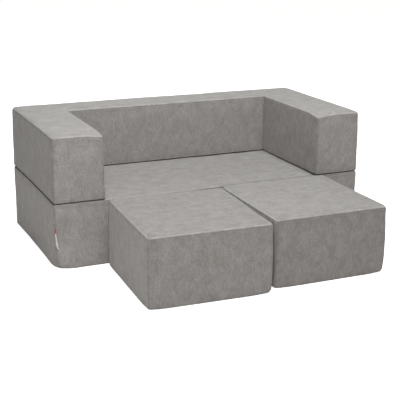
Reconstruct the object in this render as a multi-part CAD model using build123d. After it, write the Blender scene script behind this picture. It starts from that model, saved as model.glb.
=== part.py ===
from build123d import *
import os
from math import cos, radians, sin

# Modular foam play sofa for a small child: four soft blocks, each a foam core in a sewn, zipped cover.
# Millimetres, Z up. The origin is the middle of the base block's underside, on the floor.
# X runs along the sofa's width and -Y is the side that a child sits at.

# Base block and the U-shaped back block that stands on it
sofa_width = 1067
base_depth = 510
base_height = 212
back_height = 210
arm_width = 160
back_thickness = 127
resting_gap = 0.5

# Two ottomans in front of the base, each turned a little about its own middle
ottoman_width = 380
ottoman_depth = 384
ottoman_height = 218
left_ottoman_place = (-189, -472)
left_ottoman_turn = -2.5
right_ottoman_place = (203, -459)
right_ottoman_turn = -0.5

# Shape of a stuffed block: rounded edges, crowned top, swelling sides, long edges drawn in at their middle
cover_thickness = 2
edge_radius = 10
edge_steps = 3
corner_steps = 4
inner_corner_radius = 4
tight_radius = 3
top_crown = 5
crown_reach = 40
side_swell = 3
edge_draw = 3
least_draw = 0.1
drawn_length = 300
bottom_seam_rise = 1.5

# Coil zip of a cover: it lies in the rear panel, a little above the bottom seam
zip_height = 34
zip_end_margin = 60
zip_slot_width = 14
tape_thickness = 1
tape_slit = 1.4
coil_width = 2.4
coil_thickness = 1.6
stop_length = 3
zip_clearance = 0.3

# Zip slider: an upper and a lower wing joined by a thin neck, with a loop and no pull tab
slider_length = 11
slider_width = 9.4
wing_thickness = 1
wing_corner = 1.5
flange_thickness = 1.2
neck_length = 4
neck_thickness = 0.8
loop_inner_radius = 1.3
loop_outer_radius = 2.3
loop_width = 2.4
loop_lift = 0.3

# Folded label sewn into the base's front left upright seam
tag_length = 17
tag_height = 54
tag_thickness = 1.2
tag_bottom = 81
tag_turn = 250

# How far a tool that divides the cover reaches outside it and inside it
reach_out = 12
reach_in = 24


def rectangle_outline(width, depth):
    """Corners of a block seen from above, anticlockwise from the front left one."""
    x, y = width / 2, depth / 2
    return [(-x, -y), (x, -y), (x, y), (-x, y)]


def u_outline(width, depth, arm, back):
    """Corners of the U-shaped block seen from above, anticlockwise from the front left one."""
    x, y = width / 2, depth / 2
    inner_x, inner_y = x - arm, y - back
    left_arm = [(-x, -y), (-inner_x, -y)]
    hollow = [(-inner_x, inner_y), (inner_x, inner_y)]
    right_arm = [(inner_x, -y), (x, -y)]
    return left_arm + hollow + right_arm + [(x, y), (-x, y)]


def offset_outline(outline, distances):
    """Right-angled outline with each side moved outwards by its own distance; a negative one moves it in."""
    moved = []
    count = len(outline)
    for index in range(count):
        before, here = Vector(*outline[index - 1]), Vector(*outline[index])
        after = Vector(*outline[(index + 1) % count])
        out_before = (here - before).normalized().rotate(Axis.Z, -90)
        out_after = (after - here).normalized().rotate(Axis.Z, -90)
        corner = here + out_before * distances[index - 1] + out_after * distances[index]
        moved.append((corner.X, corner.Y))
    return moved


def widened(outline, distance):
    """Outline with every side moved outwards by the same distance."""
    return offset_outline(outline, [distance] * len(outline))


def corner_points(outline, index, radius):
    """Points that round one corner of an outline, outward or inward, in short straight steps."""
    before, here = Vector(*outline[index - 1]), Vector(*outline[index])
    after = Vector(*outline[(index + 1) % len(outline)])
    along_in, along_out = (here - before).normalized(), (after - here).normalized()
    centre = here + (along_out - along_in) * radius
    points = []
    for step in range(corner_steps + 1):
        angle = radians(90 * step / corner_steps)
        points.append(centre + (along_in * sin(angle) - along_out * cos(angle)) * radius)
    return points


def form_levels(height, radius):
    """Height, inset and tightness of each cut through a block, from its underside to its crown."""
    rise = []
    for step in range(edge_steps + 1):
        angle = radians(90 * step / edge_steps)
        rise.append((radius * (1 - cos(angle)), radius * (1 - sin(angle)), 1))
    fall = [(height - top_crown - z, inset, 1) for z, inset, tightness in reversed(rise)]
    crown = [(height - top_crown / 4, radius + crown_reach / 2, 1), (height, radius + crown_reach, 1)]
    return rise + [(height / 2, 0, 0)] + fall + crown


def is_flat_side(outline, index):
    """Whether a side is the rear one, which stays flat and straight for the zip."""
    rear = max(corner[1] for corner in outline)
    return outline[index][1] == rear and outline[(index + 1) % len(outline)][1] == rear


def is_drawn_side(outline, index):
    """Whether a side is long enough for the taut cover to draw its seams in."""
    length = (Vector(*outline[(index + 1) % len(outline)]) - Vector(*outline[index])).length
    return length > drawn_length and not is_flat_side(outline, index)


def level_face(outline, level, radius, inner_radius):
    """Level cut through a block: its sides swell towards mid height and are drawn in along both seams."""
    z, inset, tightness = level
    distances = []
    for index in range(len(outline)):
        swell = 0 if is_flat_side(outline, index) else side_swell * tightness
        distances.append(-inset - swell)
    cut = offset_outline(outline, distances)

    rounded = []
    for index in range(len(cut)):
        before, here = Vector(*cut[index - 1]), Vector(*cut[index])
        after = Vector(*cut[(index + 1) % len(cut)])
        is_inner = (here - before).cross(after - here).Z < 0
        outer_radius = max(radius - inset, tight_radius)
        corner_radius = inner_radius + min(inset, radius) if is_inner else outer_radius
        rounded.append(corner_points(cut, index, corner_radius))

    with BuildSketch(Plane.XY.offset(z)) as section:
        with BuildLine():
            for index, points in enumerate(rounded):
                following = rounded[(index + 1) % len(rounded)][0]
                run = following - points[-1]
                Polyline(*points)
                if is_drawn_side(outline, index):
                    inward = run.normalized().rotate(Axis.Z, 90) * (least_draw + edge_draw * tightness)
                    Polyline(points[-1], points[-1] + run / 2 + inward, following)
                else:
                    Line(points[-1], following)
        make_face()
    return section.sketch


def stuffed_form(outline, height, radius, inner_radius):
    """Foam under a taut cover: crowned top, swelling sides, edges drawn in, flat underside and rear."""
    levels = form_levels(height, radius)
    return loft([level_face(outline, level, radius, inner_radius) for level in levels], ruled=True)


def stuffed_pair(outline, height):
    """Outside of the cover, and the foam that fills it one cover thickness further in."""
    thick = cover_thickness
    outer = stuffed_form(outline, height, edge_radius, inner_corner_radius)
    inner = stuffed_form(
        widened(outline, -thick), height - 2 * thick, edge_radius - thick, inner_corner_radius + thick
    )
    return outer, Pos(0, 0, thick) * inner


def mitred_slab(outline, outer_z, inner_z):
    """Region that the top or bottom panel takes: it narrows at 45 degrees from the edge into the foam."""
    outer = widened(outline, abs(outer_z - inner_z) - reach_in)
    inner = widened(outline, -reach_in)
    lower, upper = sorted([(outer_z, outer), (inner_z, inner)])
    faces = []
    for z, corners in (lower, upper):
        faces.append(Plane.XY.offset(z) * make_face(Polyline(*corners, close=True)))
    return loft(faces, ruled=True)


def side_region(outline, index, height):
    """Region that the boxing panel on one side takes, mitred at its two upright seams."""
    outer = widened(outline, reach_out)
    inner = widened(outline, -reach_in)
    following = (index + 1) % len(outline)
    corners = [outer[index], outer[following], inner[following], inner[index]]
    return extrude(make_face(Polyline(*corners, close=True)), height)


def cover_panels(outline, outside, foam, height, side_names):
    """Cover cut along its seams into a top panel, a bottom panel and one boxing panel for each side."""
    cover = outside - foam
    top_region = mitred_slab(outline, height + reach_out, height - reach_in)
    bottom_region = mitred_slab(outline, bottom_seam_rise - reach_out, bottom_seam_rise + reach_in)
    panels = {"top_panel": cover & top_region, "bottom_panel": cover & bottom_region}
    for index, name in enumerate(side_names):
        panels[name] = (cover & side_region(outline, index, height)) - top_region - bottom_region
    return panels


def bar(x_size, y_low, y_high, z_low, z_high, x_middle=0):
    """Rectangular bar given by its length along X and its limits in Y and Z."""
    block = Box(x_size, y_high - y_low, z_high - z_low)
    return Pos(x_middle, (y_low + y_high) / 2, (z_low + z_high) / 2) * block


def zip_length(width):
    """Length of the zip in a cover of this width."""
    return width - 2 * zip_end_margin


def zip_slot(width, rear):
    """Opening in the rear panel in which the zip lies."""
    half = zip_slot_width / 2
    return bar(zip_length(width), rear - 2 * cover_thickness, rear + 1, zip_height - half, zip_height + half)


def slider_relief(width, rear):
    """Groove that the slider's lower wing presses into the foam behind the zip."""
    half = slider_width / 2 + zip_clearance
    foam_face = rear - cover_thickness
    depth = wing_thickness + 2 * zip_clearance
    return bar(zip_length(width), foam_face - depth, foam_face + 1, zip_height - half, zip_height + half)


def zip_tapes(width, rear):
    """Two woven tapes, edge to edge with a narrow slit, sewn to the panel above and below."""
    low = rear - cover_thickness
    tapes = []
    for side in (-1, 1):
        ends = sorted([zip_height + side * tape_slit / 2, zip_height + side * zip_slot_width / 2])
        tapes.append(bar(zip_length(width), low, low + tape_thickness, *ends))
    return tapes


def zip_coil(width, rear):
    """Row of coil on each tape, with a stop across both rows at each end."""
    low = rear - cover_thickness + tape_thickness
    row_length = zip_length(width) - 2 * stop_length
    pieces = []
    for side in (-1, 1):
        ends = sorted([zip_height + side * tape_slit / 2, zip_height + side * (tape_slit / 2 + coil_width)])
        pieces.append(bar(row_length, low, low + coil_thickness, *ends))
        middle = side * (row_length + stop_length) / 2
        half = tape_slit / 2 + coil_width
        ends = (zip_height - half, zip_height + half)
        pieces.append(bar(stop_length, low, low + coil_thickness, *ends, middle))
    return pieces


def slider_wing(low):
    """One wing of the slider: a plate with rounded corners whose inner face is at this Y."""
    wing_plane = Plane(origin=(0, low, zip_height), x_dir=(1, 0, 0), z_dir=(0, 1, 0))
    return extrude(wing_plane * RectangleRounded(slider_length, slider_width, wing_corner), wing_thickness)


def zip_slider(width, rear):
    """Slider at the right-hand end of the closed zip: two wings, a neck, side flanges and a bare loop."""
    tape_low = rear - cover_thickness
    tape_top = tape_low + tape_thickness
    upper = tape_top + coil_thickness + zip_clearance
    lower = tape_low - zip_clearance
    z_low, z_high = zip_height - slider_width / 2, zip_height + slider_width / 2

    body = slider_wing(upper) + slider_wing(lower - wing_thickness)
    flange_length = slider_length - 2 * wing_corner
    flange_low = tape_top + zip_clearance
    body += bar(flange_length, flange_low, upper, z_low, z_low + flange_thickness)
    body += bar(flange_length, flange_low, upper, z_high - flange_thickness, z_high)
    neck_middle = (slider_length - neck_length) / 2 - wing_corner
    neck_ends = (zip_height - neck_thickness / 2, zip_height + neck_thickness / 2)
    body += bar(neck_length, lower, upper, *neck_ends, neck_middle)
    body += slider_loop(upper + wing_thickness)
    start = zip_length(width) / 2 - stop_length - zip_clearance - slider_length / 2
    return Pos(start, 0, 0) * body


def slider_loop(base):
    """Arched loop on top of the slider, where a pull tab would hang."""
    loop_plane = Plane(origin=(0, base, zip_height), x_dir=(1, 0, 0), z_dir=(0, 0, 1))
    with BuildSketch(loop_plane) as profile:
        with Locations((0, loop_lift)):
            Circle(loop_outer_radius)
        with Locations((0, loop_lift / 2 - loop_outer_radius / 2)):
            Rectangle(2 * loop_outer_radius, loop_lift + loop_outer_radius)
        with Locations((0, loop_lift)):
            Circle(loop_inner_radius, mode=Mode.SUBTRACT)
        with Locations((0, loop_lift / 2)):
            Rectangle(2 * loop_inner_radius, loop_lift, mode=Mode.SUBTRACT)
        with Locations((0, -loop_outer_radius)):
            Rectangle(4 * loop_outer_radius, 2 * loop_outer_radius, mode=Mode.SUBTRACT)
    return extrude(profile.sketch, loop_width / 2, both=True)


def zip_travel(width):
    """How far the slider runs from the closed end to the open end."""
    return zip_length(width) - 2 * stop_length - slider_length - 2 * zip_clearance


def add_zip(pieces, prefix, width, depth):
    """Cut the zip's slot in the rear panel and its relief in the foam, and add the zip's own pieces."""
    rear = depth / 2
    pieces["rear_panel"] -= zip_slot(width, rear)
    pieces["core"] -= slider_relief(width, rear)
    pieces[prefix + "zip_tape"] = Compound(children=zip_tapes(width, rear))
    pieces[prefix + "zip_coil"] = Compound(children=zip_coil(width, rear))
    pieces[prefix + "zip_slider"] = zip_slider(width, rear)


def block_module(width, depth, height):
    """Pieces of a plain rectangular block: foam core, six cover panels and the zip."""
    outline = rectangle_outline(width, depth)
    cover, foam = stuffed_pair(outline, height)
    sides = ["front_panel", "right_panel", "rear_panel", "left_panel"]
    pieces = cover_panels(outline, cover, foam, height, sides)
    pieces["core"] = foam
    add_zip(pieces, "", width, depth)
    return pieces


def back_module():
    """Pieces of the U-shaped block: three glued foam cores, ten cover panels and the zip."""
    width, depth, height = sofa_width, base_depth, back_height
    outline = u_outline(width, depth, arm_width, back_thickness)
    cover, foam = stuffed_pair(outline, height)
    sides = [
        "left_arm_front_panel",
        "left_arm_inner_panel",
        "backrest_panel",
        "right_arm_inner_panel",
        "right_arm_front_panel",
        "right_arm_outer_panel",
        "rear_panel",
        "left_arm_outer_panel",
    ]
    pieces = cover_panels(outline, cover, foam, height, sides)
    pieces["core"] = foam
    add_zip(pieces, "", width, depth)
    divide_back_core(pieces)
    return pieces


def divide_back_core(pieces):
    """Cut the U of foam into the back block and the two arm blocks that are glued to its front."""
    foam = pieces.pop("core")
    joint_y = base_depth / 2 - back_thickness - inner_corner_radius
    back_room = Pos(0, joint_y, 0) * Box(
        sofa_width, base_depth, back_height, align=(Align.CENTER, Align.MIN, Align.MIN)
    )
    arms = (foam - back_room).solids().sort_by(Axis.X)
    pieces["core"] = foam & back_room
    pieces["left_arm_core"] = arms[0]
    pieces["right_arm_core"] = arms[-1]


def side_tag(neighbours):
    """Folded label that stands out of the front left upright seam, cut to the pieces beside it."""
    corner = Vector(-sofa_width / 2 + edge_radius, -base_depth / 2 + edge_radius, 0)
    direction = Vector(cos(radians(tag_turn)), sin(radians(tag_turn)), 0)
    middle = corner + direction * (edge_radius - side_swell - cover_thickness + tag_length / 2)
    label = Box(tag_length, tag_thickness, tag_height)
    fold = label.edges().filter_by(Axis.Z).sort_by(Axis.X)[-2:]
    label = fillet(fold, tag_thickness * 0.45)
    label = Pos(middle.X, middle.Y, tag_bottom + tag_height / 2) * Rot(0, 0, tag_turn) * label
    for piece in neighbours:
        label -= piece
    return label.solids().sort_by(SortBy.VOLUME)[-1]


def placed(pieces, location, names):
    """Pieces moved to their place, under the names that the whole sofa uses."""
    return {names(key): location * piece for key, piece in pieces.items()}


def back_name(key):
    """Name of a piece of the back block in the whole sofa: the arms and the backrest have their own."""
    return key if "arm_" in key or key == "backrest_panel" else "back_" + key


def build_sofa():
    """All pieces of the sofa by node name."""
    nodes = {}
    base = block_module(sofa_width, base_depth, base_height)
    nodes.update(placed(base, Location(), lambda key: "base_" + key))
    nodes["side_tag"] = side_tag([base["left_panel"], base["front_panel"], base["core"]])

    back = back_module()
    lift = Pos(0, 0, base_height + resting_gap)
    nodes.update(placed(back, lift, back_name))

    ottoman = block_module(ottoman_width, ottoman_depth, ottoman_height)
    for side, place, turn in (
        ("left", left_ottoman_place, left_ottoman_turn),
        ("right", right_ottoman_place, right_ottoman_turn),
    ):
        spot = Pos(*place, 0) * Rot(0, 0, turn)
        nodes.update(placed(ottoman, spot, lambda key, side=side: f"{side}_ottoman_{key}"))
    return nodes


os.makedirs("parts", exist_ok=True)
for node_name, shape in build_sofa().items():
    export_step(shape, f"parts/{node_name}.step")
print("slider travel of the wide zips", zip_travel(sofa_width))
print("slider travel of the ottoman zips", zip_travel(ottoman_width))
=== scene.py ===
import logging
from dataclasses import dataclass, field
from enum import Enum
from typing import Iterable, Sequence

import bpy
import numpy as np
from mathutils import Matrix, Vector


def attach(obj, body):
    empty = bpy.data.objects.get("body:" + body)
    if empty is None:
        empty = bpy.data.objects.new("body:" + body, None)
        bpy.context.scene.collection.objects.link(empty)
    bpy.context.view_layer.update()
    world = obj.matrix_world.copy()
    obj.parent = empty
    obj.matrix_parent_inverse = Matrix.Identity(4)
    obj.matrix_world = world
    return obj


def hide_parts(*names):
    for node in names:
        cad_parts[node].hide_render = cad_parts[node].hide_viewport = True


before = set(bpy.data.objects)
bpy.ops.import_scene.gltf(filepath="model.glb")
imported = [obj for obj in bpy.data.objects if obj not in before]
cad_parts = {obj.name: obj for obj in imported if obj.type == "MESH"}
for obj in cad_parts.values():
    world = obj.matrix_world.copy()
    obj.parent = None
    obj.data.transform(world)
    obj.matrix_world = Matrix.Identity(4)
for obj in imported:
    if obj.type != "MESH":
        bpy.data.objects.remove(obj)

MM = 0.001
LOG = logging.getLogger("sofa")


class Slot(Enum):
    """Material slots of the record."""

    VELOUR = "velour"
    FOAM = "foam"
    ZIP_COIL = "zip_coil"
    LABEL = "label_tape"


# Colour and nodes


def linear(hex_colour: str) -> tuple[float, float, float, float]:
    """Turn an sRGB hex colour into linear light.

    Args:
        hex_colour: Six hex digits with a leading #.

    Returns:
        Linear red, green and blue, and an alpha of 1.
    """
    srgb = np.array([int(hex_colour[i:i + 2], 16) for i in (1, 3, 5)]) / 255
    value = np.where(srgb <= 0.04045, srgb / 12.92, ((srgb + 0.055) / 1.055) ** 2.4)
    return (*value.tolist(), 1.0)


def add_node(tree: bpy.types.NodeTree, kind: str, inputs: dict[str | int, object] | None = None,
             stops: Sequence[tuple[float, str]] = (), **settings: object) -> bpy.types.Node:
    """Add a node to a tree, with its settings, values and links.

    Args:
        tree: Node tree that the node is added to.
        kind: Blender's name of the node's type.
        inputs: By input name or number, a value, or an output socket to link from.
        stops: Position and sRGB hex colour of each stop of a colour ramp, in order.
        **settings: Properties of the node itself.

    Returns:
        The new node.
    """
    node = tree.nodes.new(kind)
    for name, value in settings.items():
        setattr(node, name, value)
    for key, value in (inputs or {}).items():
        if isinstance(value, bpy.types.NodeSocket):
            tree.links.new(value, node.inputs[key])
        else:
            node.inputs[key].default_value = value
    if stops:
        elements = node.color_ramp.elements
        while len(elements) < len(stops):
            elements.new(0.5)
        for element, (position, colour) in zip(elements, stops):
            element.position = position
            element.color = linear(colour)
    return node


def new_material(name: str) -> tuple[bpy.types.Material, bpy.types.NodeTree]:
    """Make an empty node material and return it with its tree.

    Args:
        name: Name of the material.

    Returns:
        The material and its node tree.
    """
    material = bpy.data.materials.new(name)
    material.use_nodes = True
    material.node_tree.nodes.clear()
    return material, material.node_tree


# Finishes


@dataclass(frozen=True)
class Velour:
    """Short-pile microfibre velour, brushed, in a warm mid grey.

    The pile gives a matt face with a soft pale sheen at grazing angles, brushed streaks along the pile
    and patches where a hand has laid it the other way. Patches and streaks have a size across the pile
    and one along it.
    """

    pale: str = "#aeaba8"
    middle: str = "#979491"
    dark: str = "#7f7c79"
    # Darker colour of the painted shade along the seams and where blocks rest on one another.
    painted_shade: str = "#35322f"
    # Paler colour of the painted highlight along the top edges.
    edge: str = "#bcbab7"
    sheen_tint: str = "#e3e2de"
    patch_mm: tuple[float, float] = (28.0, 42.0)
    streak_mm: tuple[float, float] = (5.0, 18.0)
    pile_mm: float = 5.5
    patch_share: float = 0.32
    streak_share: float = 0.28
    pile_share: float = 0.4
    relief: float = 0.9 * MM
    roughness: float = 0.92
    sheen: float = 0.25

    def material(self) -> bpy.types.Material:
        """Build the node material on the panel's own UV, in metres, and on the cover's attributes.

        The tone is the sum of three noises, each times its share, and of the painted facing shade. The
        painted edge highlight and the painted shade along seams and rests then mix in a paler and a darker
        colour.

        Returns:
            The material.
        """
        material, tree = new_material("brushed_velour")
        cloth = add_node(tree, "ShaderNodeUVMap", uv_map="cut").outputs["UV"]
        noises = []
        for (across, along), look in (
            (self.patch_mm, {"Detail": 3.0, "Roughness": 0.55, "Distortion": 0.6}),
            (self.streak_mm, {"Detail": 2.0, "Roughness": 0.6}),
        ):
            scaled = add_node(tree, "ShaderNodeMapping", {
                "Vector": cloth, "Scale": (1000 / across, 1000 / along, 1.0)})
            noise = add_node(tree, "ShaderNodeTexNoise", {
                "Vector": scaled.outputs["Vector"], "Scale": 1.0, **look})
            noises.append(noise.outputs["Fac"])
        patches, streaks = noises
        # Tufts of pile lean together in clumps of about 5 mm, down to 1 mm in the finest detail.
        pile = add_node(tree, "ShaderNodeTexNoise", {
            "Vector": cloth, "Scale": 1000 / self.pile_mm, "Detail": 4.0, "Roughness": 0.65}).outputs["Fac"]
        tone = 0.0
        shares = (self.patch_share, self.streak_share, self.pile_share)
        for noise, share in zip((patches, streaks, pile), shares):
            tone = add_node(tree, "ShaderNodeMath", {
                0: noise, 1: share, 2: tone}, operation="MULTIPLY_ADD").outputs[0]
        # Painted shade by facing shifts the tone.
        facing_shade = add_node(tree, "ShaderNodeAttribute", attribute_name="facing_shade").outputs["Fac"]
        tone = add_node(tree, "ShaderNodeMath", {0: tone, 1: facing_shade}, operation="ADD").outputs[0]
        colour = add_node(tree, "ShaderNodeValToRGB", {"Fac": tone}, stops=[
            (0.3, self.dark), (0.5, self.middle), (0.7, self.pale)]).outputs["Color"]
        # Mix in a painted highlight along the top edges and painted shade along the seams and where blocks
        # rest.
        for name, other in (("edge", self.edge), ("painted_shade", self.painted_shade)):
            share = add_node(tree, "ShaderNodeAttribute", attribute_name=name).outputs["Fac"]
            # Inputs 6 and 7 and output 2 of a Mix node are its colour sockets.
            colour = add_node(tree, "ShaderNodeMix", {
                0: share, 6: colour, 7: linear(other)}, data_type="RGBA").outputs[2]

        height = add_node(tree, "ShaderNodeMath", {0: pile, 1: 0.7, 2: streaks}, operation="MULTIPLY_ADD")
        bump = add_node(tree, "ShaderNodeBump", {
            "Height": height.outputs[0], "Strength": 0.35, "Distance": self.relief})
        shader = add_node(tree, "ShaderNodeBsdfPrincipled", {
            "Base Color": colour, "Roughness": self.roughness, "IOR": 1.45, "Specular IOR Level": 0.25,
            "Sheen Weight": self.sheen, "Sheen Roughness": 0.45, "Sheen Tint": linear(self.sheen_tint),
            "Normal": bump.outputs["Normal"]})
        add_node(tree, "ShaderNodeOutputMaterial", {"Surface": shader.outputs["BSDF"]})
        return material


@dataclass(frozen=True)
class CutFoam:
    """Open-cell polyurethane foam, sawn: cream, matt, with pores of one to three millimetres."""

    pale: str = "#efe7cf"
    pore: str = "#b9ac8a"
    pore_mm: float = 2.2
    roughness: float = 0.95

    def material(self) -> bpy.types.Material:
        """Build the node material: cells of a Voronoi pattern in Object coordinates, as colour and pits.

        Returns:
            The material.
        """
        material, tree = new_material("sawn_polyurethane_foam")
        place = add_node(tree, "ShaderNodeTexCoord").outputs["Object"]
        cells = add_node(tree, "ShaderNodeTexVoronoi", {
            "Vector": place, "Scale": 1000 / self.pore_mm}).outputs["Distance"]
        colour = add_node(tree, "ShaderNodeValToRGB", {"Fac": cells}, stops=[
            (0.05, self.pore), (0.45, self.pale)]).outputs["Color"]
        bump = add_node(tree, "ShaderNodeBump", {"Height": cells, "Strength": 0.6, "Distance": 1.0 * MM})
        shader = add_node(tree, "ShaderNodeBsdfPrincipled", {
            "Base Color": colour, "Roughness": self.roughness, "Normal": bump.outputs["Normal"]})
        add_node(tree, "ShaderNodeOutputMaterial", {"Surface": shader.outputs["BSDF"]})
        return material


@dataclass(frozen=True)
class WovenTape:
    """Woven polyester tape: matt, with ribs across its length and a warp that crosses them.

    The real threads lie under a millimetre apart. The ribs are drawn about 7 mm apart, so that they show.
    Above the end's height, where there is one, the tape has the end's colour.
    """

    name: str
    colour: str
    rib: str
    end_colour: str | None = None
    end_height: float = 0.0
    rib_mm: float = 6.9115
    roughness: float = 0.75

    def material(self) -> bpy.types.Material:
        """Build the node material: crossing waves in Object coordinates stand for warp and weft.

        A wave texture of scale s repeats every 2 pi / (20 s) metres.

        Returns:
            The material.
        """
        material, tree = new_material(self.name)
        place = add_node(tree, "ShaderNodeTexCoord").outputs["Object"]
        scale = 2 * np.pi * 1000 / (20 * self.rib_mm)
        weft, warp = [add_node(tree, "ShaderNodeTexWave", {
            "Vector": place, "Scale": scale, "Distortion": 0.4, "Detail": 1.0},
            bands_direction=bands).outputs["Fac"] for bands in ("Z", "DIAGONAL")]
        weave = add_node(tree, "ShaderNodeMath", {0: weft, 1: warp}, operation="MULTIPLY").outputs[0]
        colour = add_node(tree, "ShaderNodeValToRGB", {"Fac": weave}, stops=[
            (0.1, self.rib), (0.75, self.colour)]).outputs["Color"]
        if self.end_colour:
            height = add_node(tree, "ShaderNodeSeparateXYZ", {"Vector": place}).outputs["Z"]
            is_end = add_node(tree, "ShaderNodeMath", {
                0: height, 1: self.end_height}, operation="GREATER_THAN").outputs[0]
            colour = add_node(tree, "ShaderNodeMix", {
                0: is_end, 6: colour, 7: linear(self.end_colour)}, data_type="RGBA").outputs[2]
        bump = add_node(tree, "ShaderNodeBump", {"Height": weave, "Strength": 0.5, "Distance": 0.2 * MM})
        shader = add_node(tree, "ShaderNodeBsdfPrincipled", {
            "Base Color": colour, "Roughness": self.roughness, "Sheen Weight": 0.1,
            "Normal": bump.outputs["Normal"]})
        add_node(tree, "ShaderNodeOutputMaterial", {"Surface": shader.outputs["BSDF"]})
        return material


@dataclass(frozen=True)
class MouldedCoil:
    """Drawn nylon monofilament of a coil zip: smooth, with a soft highlight and slow changes of tone."""

    colour: str = "#6f6b67"
    worn: str = "#85817c"
    tones_per_metre: float = 120.0
    roughness: float = 0.38

    def material(self) -> bpy.types.Material:
        """Build the node material: slow changes of tone along the coil in Object coordinates.

        Returns:
            The material.
        """
        material, tree = new_material("nylon_coil")
        place = add_node(tree, "ShaderNodeTexCoord").outputs["Object"]
        tone = add_node(tree, "ShaderNodeTexNoise", {
            "Vector": place, "Scale": self.tones_per_metre, "Detail": 3.0}).outputs["Fac"]
        colour = add_node(tree, "ShaderNodeValToRGB", {"Fac": tone}, stops=[
            (0.35, self.colour), (0.7, self.worn)]).outputs["Color"]
        shader = add_node(tree, "ShaderNodeBsdfPrincipled", {
            "Base Color": colour, "Roughness": self.roughness, "IOR": 1.53})
        add_node(tree, "ShaderNodeOutputMaterial", {"Surface": shader.outputs["BSDF"]})
        return material


@dataclass(frozen=True)
class EnamelledZinc:
    """Die-cast zinc slider under grey enamel: slight orange peel, edges rubbed a little paler."""

    colour: str = "#76726e"
    rubbed: str = "#a9a6a1"
    spots_per_metre: float = 900.0
    peel_per_metre: float = 1500.0
    roughness: float = 0.34

    def material(self) -> bpy.types.Material:
        """Build the node material: noise in Object coordinates for orange peel and rubbed spots.

        Returns:
            The material.
        """
        material, tree = new_material("enamelled_zinc")
        place = add_node(tree, "ShaderNodeTexCoord").outputs["Object"]
        spots, peel = [add_node(tree, "ShaderNodeTexNoise", {
            "Vector": place, "Scale": scale, "Detail": detail}).outputs["Fac"]
            for scale, detail in ((self.spots_per_metre, 4.0), (self.peel_per_metre, 1.0))]
        colour = add_node(tree, "ShaderNodeValToRGB", {"Fac": spots}, stops=[
            (0.55, self.colour), (0.8, self.rubbed)]).outputs["Color"]
        bump = add_node(tree, "ShaderNodeBump", {"Height": peel, "Strength": 0.2, "Distance": 0.05 * MM})
        shader = add_node(tree, "ShaderNodeBsdfPrincipled", {
            "Base Color": colour, "Roughness": self.roughness, "Metallic": 0.25,
            "Coat Weight": 0.4, "Coat Roughness": 0.2, "Normal": bump.outputs["Normal"]})
        add_node(tree, "ShaderNodeOutputMaterial", {"Surface": shader.outputs["BSDF"]})
        return material


# Shapes


PANEL_EDGE_LINES = np.array([0, 1.2, 2.8, 5, 7.5, 9, 11, 14, 19, 26]) * MM
LATTICE_STEP = 15 * MM
CLOTH_FRAMES = 20
# A point this near to a plane lies on it.
ON_PLANE = 0.01 * MM
# What wall_gaps gives for a wall that doesn't face the point: farther than any wall.
NO_WALL = 9.0


@dataclass(frozen=True)
class Placement:
    """Where a block stands: its middle on the plan, the height of its underside and its turn."""

    x: float = 0.0
    y: float = 0.0
    z: float = 0.0
    turn: float = 0.0

    def apply(self, points: np.ndarray) -> np.ndarray:
        """Turn points about the upright axis and move them to the block's place.

        Args:
            points: Points in the block's own frame.

        Returns:
            The same points in the shared frame.
        """
        angle = np.radians(self.turn)
        turned = points @ np.array([
            [np.cos(angle), np.sin(angle), 0], [-np.sin(angle), np.cos(angle), 0], [0, 0, 1]])
        return turned + np.array([self.x, self.y, self.z])


def make_piece(name: str, points: np.ndarray, faces: np.ndarray | list,
               smooth: bool = True) -> bpy.types.Object:
    """Make a mesh object at the origin from points and faces.

    Args:
        name: Name of the piece.
        points: Array of points, one row each, in metres.
        faces: Corner numbers of each face.
        smooth: Whether its faces are shaded smooth.

    Returns:
        The object, linked to the scene.
    """
    mesh = bpy.data.meshes.new(name)
    rows = faces.tolist() if isinstance(faces, np.ndarray) else faces
    mesh.from_pydata(points.tolist(), [], rows)
    mesh.polygons.foreach_set("use_smooth", np.full(len(mesh.polygons), smooth))
    mesh.update()
    piece = bpy.data.objects.new(name, mesh)
    bpy.context.scene.collection.objects.link(piece)
    return piece


def read_points(mesh: bpy.types.Mesh, what: str = "co") -> np.ndarray:
    """Read the places (co) or normals of a mesh's vertices as an array.

    Args:
        mesh: Mesh that is read.
        what: co for places or normal for normals.

    Returns:
        One row of three numbers for each vertex.
    """
    values = np.zeros(len(mesh.vertices) * 3, np.float64)
    mesh.vertices.foreach_get(what, values)
    return values.reshape(-1, 3)


def write_points(mesh: bpy.types.Mesh, points: np.ndarray) -> None:
    """Write the places of a mesh's vertices."""
    mesh.vertices.foreach_set("co", points.ravel())
    mesh.update()


def read_values(mesh: bpy.types.Mesh, name: str) -> np.ndarray:
    """Read a float attribute that has one value for each vertex.

    Args:
        mesh: Mesh that is read.
        name: Name of the attribute.

    Returns:
        One value for each vertex.
    """
    values = np.zeros(len(mesh.vertices), np.float32)
    mesh.attributes[name].data.foreach_get("value", values)
    return values.astype(float)


def write_values(mesh: bpy.types.Mesh, name: str, values: np.ndarray) -> None:
    """Write a float attribute that has one value for each vertex.

    Args:
        mesh: Mesh that is written to.
        name: Name of the attribute.
        values: One value for each vertex.
    """
    attribute = mesh.attributes.get(name) or mesh.attributes.new(name, "FLOAT", "POINT")
    attribute.data.foreach_set("value", values.astype(np.float32))


def lines_between(low: float, high: float) -> np.ndarray:
    """Lattice lines from one panel edge to the next: close together at both ends, then a step apart.

    Args:
        low: Place of the first panel edge.
        high: Place of the next panel edge.

    Returns:
        Places of the lines, in order.
    """
    near = PANEL_EDGE_LINES
    rest = high - low - 2 * near[-1]
    steps = max(int(round(rest / LATTICE_STEP)), 1)
    middle = np.linspace(low + near[-1], high - near[-1], steps + 1)[1:-1]
    return np.concatenate([low + near, middle, (high - near)[::-1]])


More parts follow.
